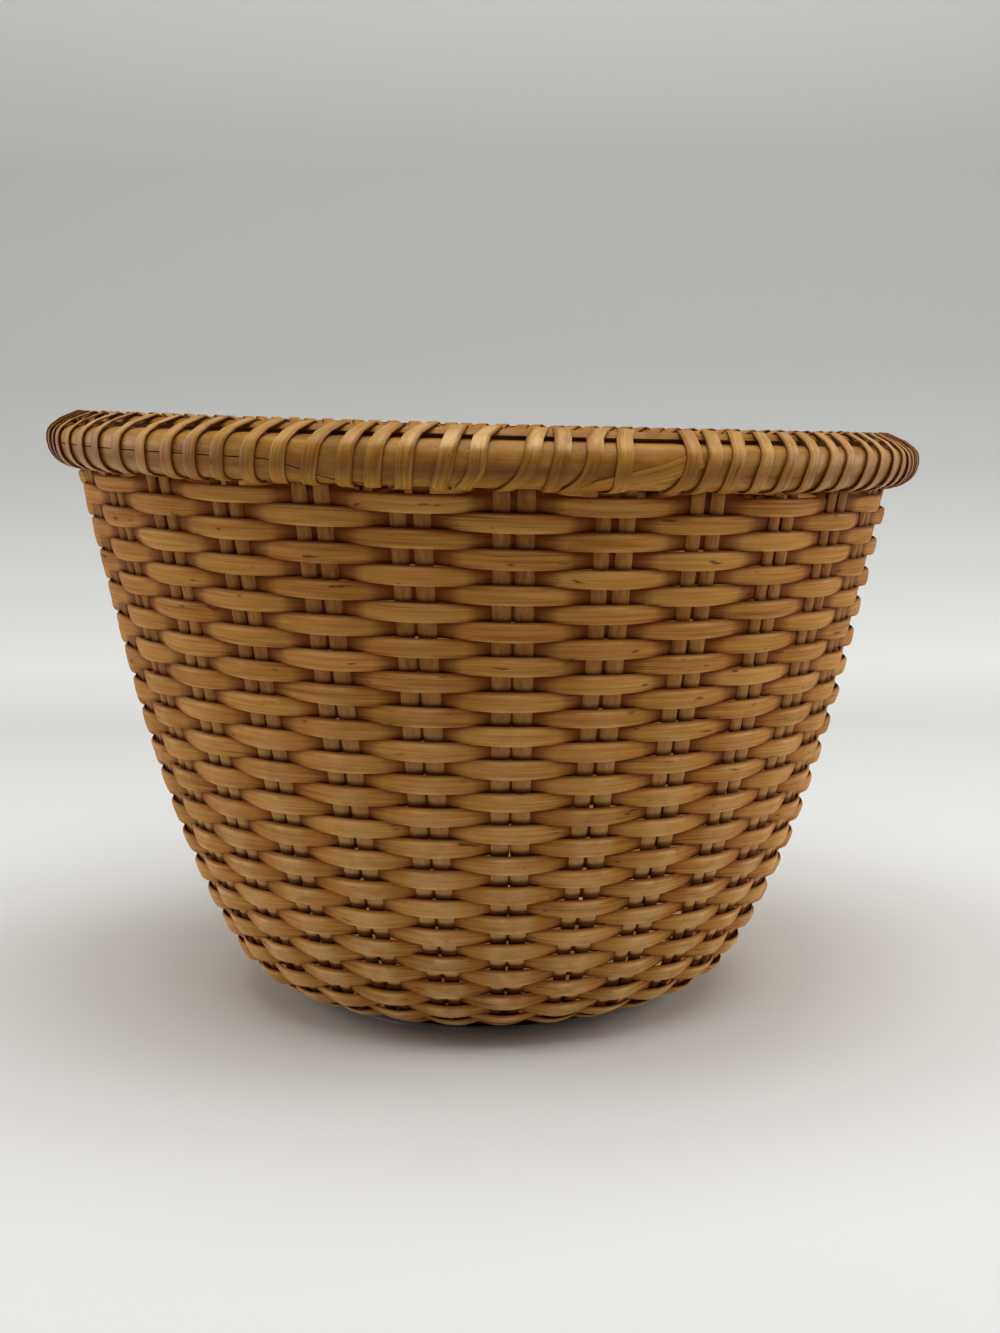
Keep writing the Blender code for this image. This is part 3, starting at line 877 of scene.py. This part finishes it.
def pass_bearing(bearing):
    """The nearest place between two staves where a turn can go in under the hoops."""
    middle = FRONT_STAVE + (floor((bearing - FRONT_STAVE) / STEP) + 0.5) * STEP
    return middle + (bearing - middle) * PASS_PLAY


def between(stops, run):
    """The bearing part way round a turn, on a smooth curve through the stops."""
    for i, ((at, here), (next_at, there)) in enumerate(zip(stops, stops[1:])):
        if run <= next_at:
            before, after = stops[max(i - 1, 0)], stops[min(i + 2, len(stops) - 1)]
            reach = next_at - at
            leave = (there - before[1]) / (next_at - before[0]) * reach
            arrive = (after[1] - here) / (after[0] - at) * reach
            p = (run - at) / reach
            return ((2 * p ** 3 - 3 * p ** 2 + 1) * here + (p ** 3 - 2 * p ** 2 + p) * leave
                    + (3 * p ** 2 - 2 * p ** 3) * there + (p ** 3 - p ** 2) * arrive)
    return stops[-1][1]


rings, along, shading = [], [], []
run = 0.0
last = None
for number, (over, foot, top) in enumerate(turns):
    following = sum(turns[number + 1][:2]) if number + 1 < len(turns) else over + LAST_STEP
    bearings = (pass_bearing(over + foot), over + foot, over, over + top,
                (over + top + following) / 2, pass_bearing(following))
    stops = [(walk[corner], bearing) for corner, bearing in zip(STOP_CORNERS, bearings)]
    lift = wind.uniform(0.0, LASHING_SLACK)
    for i, (out, up, facing) in enumerate(line):
        share = (facing - FACING_START) / FACING_SPAN
        bearing = between(stops, walk[i])
        ends = min(share, 1 - share) / SQUEEZE
        width = PASS_WIDTH + (LASHING_WIDTH - PASS_WIDTH) * min(1.0, ends)
        before = line[i - 1] if i else line[-1]
        after = line[i + 1] if i + 1 < len(line) else line[0]
        run_out, run_up = after[0] - before[0], after[1] - before[1]
        size = hypot(run_out, run_up)
        middle = rim_point(bearing, out + lift * run_up / size, up - lift * run_out / size)
        outward = rim_point(bearing, out + run_up / size, up - run_out / size) - middle
        outward.normalize()
        side = Vector((cos(bearing), sin(bearing), 0))
        # the edge nearer the front stands off the hoop a little, and it gets painted shade
        twist = -LASHING_TWIST * sin(over) * max(0.0, sin(pi * share))
        twist += LASHING_WAVER * sin(over * 40)
        rings.append([middle + side * (a * width)
                      + outward * (o * LASHING_THICKNESS + 2 * a * twist)
                      for a, o in LASHING_SECTION])
        edges = LASHING_EDGE_SHADE if sin(over) < 0 else LASHING_EDGE_SHADE[7::-1] + LASHING_EDGE_SHADE[8:]
        shading.append([edge if edge > 0.2 else turn_light_and_shade(facing, over) for edge in edges])
        if last is not None:
            run += (middle - last).length
        last = middle
        along.append(run)
around = girth(LASHING_SECTION, LASHING_WIDTH, LASHING_THICKNESS)
lashing = lay_strip("lashing", rings, around, along, lashing_cane, 40, shading)
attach(lashing, "root")
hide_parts("rim_lashing")

# the tail of the lashing, slanting down the bare stretch of the outer hoop and under its last turn:
# bearing in degrees, level of its middle and width
TAIL = ((24.6, 0.0088, 0.0040), (22.6, 0.0070, 0.0042), (20.4, 0.0053, 0.0042),
        (18.0, 0.0040, 0.0040), (15.5, 0.0028, 0.0036), (13.0, 0.0017, 0.0030),
        (11.0, 0.0008, 0.0022))
TAIL_THICKNESS = 0.00045
TAIL_LEAN = radians(0.5)
TAIL_GIRTH = (0.0, 0.0004, 0.0024, 0.0044, 0.0048, 0.0066, 0.0084)
rings, along = [], []
for i, (degrees, up, width) in enumerate(TAIL):
    bearing = radians(degrees)
    low, high = max(up - width / 2, 0.0002), up + width / 2
    edge_low = rim_point(bearing, *outer_face(low))
    edge_high = rim_point(bearing - TAIL_LEAN, *outer_face(high))
    middle = rim_point(bearing - TAIL_LEAN / 2, *outer_face(up))
    slope = 0.5 * (2 * up / HOOP_HEIGHT - 1)
    outward = (rim_point(bearing, outer_face(up)[0] + 1, up + slope) - middle).normalized()
    lift = outward * (TAIL_THICKNESS * 0.9)
    crown = middle + lift * 1.15
    rings.append([edge_low, edge_low + lift, crown, edge_high + lift, edge_high, middle])
    along.append(3.0 + 0.005 * i)
tail = lay_strip("lashing_tail", rings, TAIL_GIRTH, along, lashing_cane, 40)
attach(tail, "root")
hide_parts("rim_lashing")

# Floor and backdrop. One pale sweep of paper that lies flat under the basket and turns up softly
# behind it, whitest low on the turn and greyer above.
SWEEP = ((-1.6, 0.0), (0.45, 0.0), (0.62, 0.02), (0.78, 0.09), (0.90, 0.22), (0.97, 0.42),
         (1.0, 0.8), (1.0, 2.2))
SWEEP_WIDTH = 5
PAPER_HEIGHT = 0.5  # over which the tones below are spread, from the floor up
# the tones are painted light and shade on the sweep: whitest just up the turn, greyer higher up
PAPER_TONES = (
    (0.0, (0.79, 0.79, 0.77)), (0.03, (0.94, 0.94, 0.92)), (0.12, (0.80, 0.80, 0.78)),
    (0.25, (0.63, 0.63, 0.61)), (0.40, (0.56, 0.56, 0.535)), (0.70, (0.53, 0.53, 0.51)),
    (1.0, (0.71, 0.71, 0.69)),
)
PAPER_FADE_START, PAPER_FADE_END = 0.60, 1.35
# the pale room around it: its colour, how much light it gives, and how bright it looks itself
ROOM_COLOUR = (1.0, 1.0, 0.98, 1.0)
ROOM_LIGHT, ROOM_SEEN = 0.12, 0.62


def seen_rays(tree):
    """1 for what is seen directly, mirrored or through glass, and 0 for the light it gives."""
    rays = put(tree, "LightPath", {}).outputs
    return sum_of(tree, (rays["Is Glossy Ray"], 1.0), (rays["Is Transmission Ray"], 1.0),
                  (rays["Is Camera Ray"], 1.0))


paper, tree, shader = finish_with("paper", 0.9, 0.1)
place = put(tree, "TexCoord", {}).outputs["Object"]
spot = put(tree, "SeparateXYZ", {"Vector": place}).outputs
colour = shades(tree, part_way(tree, spot["Z"], 0.0, PAPER_HEIGHT), PAPER_TONES)
# far out at the sides and in front, where no lamp reaches it, the paper shows the pale room beyond
beside = put(tree, "Math", {0: spot["X"]}, operation="ABSOLUTE").outputs[0]
before = times(tree, spot["Y"], -1.0)
away = put(tree, "Math", {0: beside, 1: before}, operation="MAXIMUM").outputs[0]
fade = times(tree, seen_rays(tree), part_way(tree, away, PAPER_FADE_START, PAPER_FADE_END))
tree.links.new(blended(tree, fade, colour, (*BLACK, 1.0)), shader.inputs["Base Color"])
shader.inputs["Emission Color"].default_value = ROOM_COLOUR
tree.links.new(times(tree, fade, ROOM_SEEN), shader.inputs["Emission Strength"])
bpy.ops.object.select_all(action="DESELECT")
bpy.ops.mesh.primitive_plane_add(size=1, location=(0, SWEEP[0][0], SWEEP[0][1]))
sweep = start_piece("sweep")
bpy.ops.mesh.delete(type="ONLY_FACE")
bpy.ops.mesh.select_all(action="SELECT")
bpy.ops.transform.resize(value=(SWEEP_WIDTH, 0, 1), center_override=(0, SWEEP[0][0], 0))
bpy.ops.mesh.remove_doubles(threshold=0.0001)
bpy.ops.mesh.select_all(action="SELECT")
for (y, z), (next_y, next_z) in zip(SWEEP, SWEEP[1:]):
    bpy.ops.mesh.extrude_region_move(TRANSFORM_OT_translate={"value": (0, next_y - y, next_z - z)})
end_piece(sweep, paper, 60)


# Lamps. One broad soft lamp over the basket and a smaller one low at each side, in a pale room that
# adds a little light from all round.
def soft_light(name, place, aim, size, power):
    data = bpy.data.lights.new(name, "AREA")
    data.shape = "SQUARE"
    data.size = size
    data.energy = power
    lamp = bpy.data.objects.new(name, data)
    lamp.location = place
    lamp.rotation_euler = (Vector(aim) - Vector(place)).to_track_quat("-Z", "Y").to_euler()
    bpy.context.scene.collection.objects.link(lamp)


soft_light("overhead", (0.04, -0.2, 1.0), (0, -0.05, 0), 1.0, 9.4)
soft_light("left_side", (-1.0, 0.1, 0.30), (0, 0, 0.05), 0.7, 4.6)
soft_light("right_side", (1.0, 0.1, 0.30), (0, 0, 0.05), 0.7, 5.7)
world = bpy.data.worlds.new("room")
world.use_nodes = True
tree = world.node_tree
walls = tree.nodes["Background"]
walls.inputs["Color"].default_value = ROOM_COLOUR
glow = put(tree, "MapRange", {"Value": seen_rays(tree), "To Min": ROOM_LIGHT, "To Max": ROOM_SEEN})
tree.links.new(glow.outputs["Result"], walls.inputs["Strength"])
bpy.context.scene.world = world

# Camera, just above the rim and a little to the left of straight on.
CAMERA_REACH = 0.5708
CAMERA_HEIGHT = wall_at(WALL_LENGTH)[1] + GROOVE_HEIGHT + 0.0254
CAMERA_LENS = 51.5
CAMERA_PAN, CAMERA_DIP, CAMERA_ROLL = -0.0074, radians(90 - 8.08), -0.0075
camera_data = bpy.data.cameras.new("camera")
camera_data.lens = CAMERA_LENS
camera_data.sensor_width = 36
camera = bpy.data.objects.new("camera", camera_data)
camera.location = (0, -CAMERA_REACH, CAMERA_HEIGHT)
aim = (Matrix.Rotation(CAMERA_PAN, 3, "Z") @ Matrix.Rotation(CAMERA_DIP, 3, "X")
       @ Matrix.Rotation(CAMERA_ROLL, 3, "Z"))
camera.rotation_euler = aim.to_euler()
bpy.context.scene.collection.objects.link(camera)
bpy.context.scene.camera = camera

bpy.context.scene.view_settings.view_transform = "Standard"
